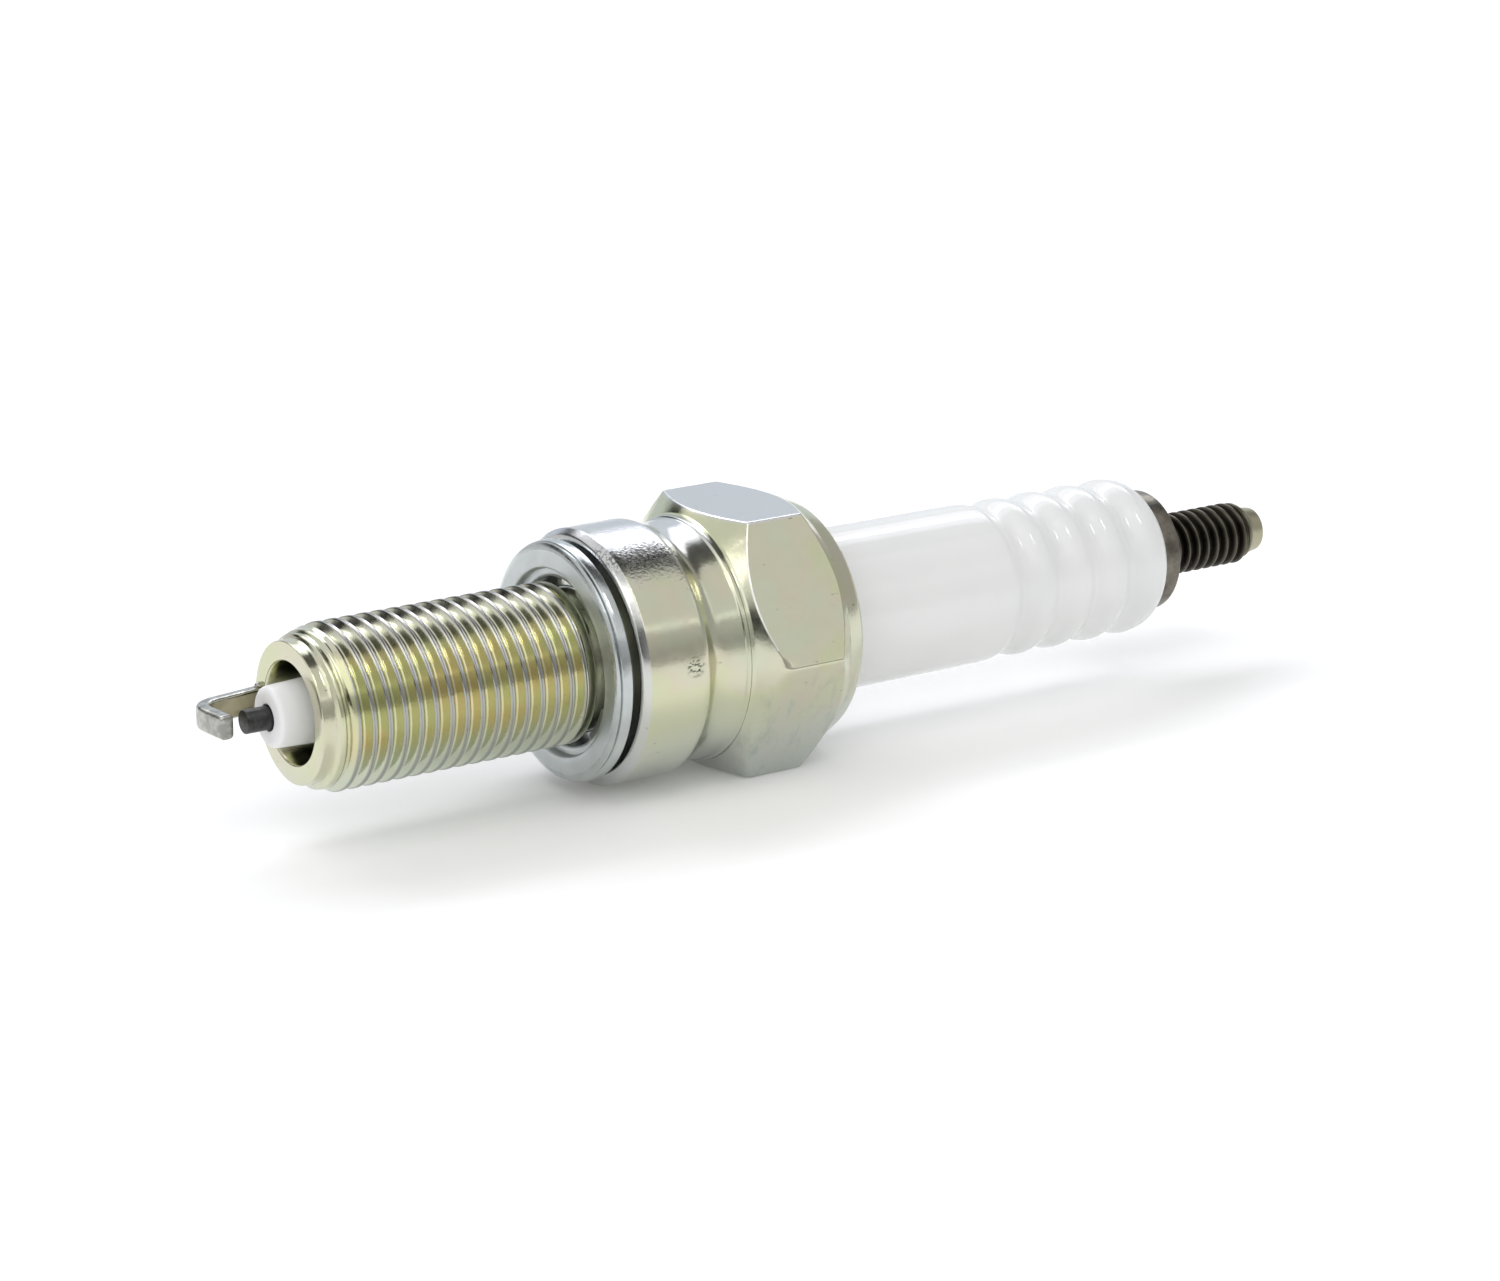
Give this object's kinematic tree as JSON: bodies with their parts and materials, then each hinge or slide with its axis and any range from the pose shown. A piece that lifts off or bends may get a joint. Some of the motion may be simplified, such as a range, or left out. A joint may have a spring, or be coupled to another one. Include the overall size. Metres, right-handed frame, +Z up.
{
  "type": "spark plug",
  "caption": "Long-reach spark plug with a hexagon for the spanner, a folded crush gasket, a ribbed white insulator and a bare threaded terminal.",
  "frame": {"origin": "on the plug's axis, in the plane of the flat seat at the front of the collar, which the gasket is pressed against", "axes": "+X along the axis from the electrodes to the terminal, +Z up with one flat of the hexagon facing down, +Y to the side the strap of the ground electrode is welded on"},
  "size_m": [0.0764, 0.0184, 0.016],
  "materials": {
    "plated_steel": "pale yellow-green iridescent plating, fairly bright",
    "nickel_alloy": "satin nickel alloy",
    "zinc_steel": "bluish zinc plating",
    "glazed_alumina": "white gloss glaze",
    "dark_nickel": "dark satin",
    "copper": null,
    "seal_glass": "dark conductive glass",
    "resistor_mix": "matt fired glass and carbon",
    "dark_steel": "dark brown-grey metal",
    "talc": "pressed powder"
  },
  "bodies": {
    "plug": {"metal_shell": "plated_steel", "ground_electrode": "nickel_alloy", "insulator": "glazed_alumina", "center_electrode_sheath": "dark_nickel", "center_electrode_core": "copper", "lower_glass_seal": "seal_glass", "resistor_element": "resistor_mix", "upper_glass_seal": "seal_glass", "terminal_stud": "dark_steel", "seat_packing": "zinc_steel", "lower_packing_ring": "zinc_steel", "talc_packing": "talc", "upper_packing_ring": "zinc_steel"},
    "gasket": {"seat_gasket": "zinc_steel"}
  },
  "joints": [
    {"name": "gasket_slide", "type": "slide", "parent": "plug", "child": "gasket", "axis": [1, 0, 0], "range_m": [-0.0004, 0.0004]}
  ]
}
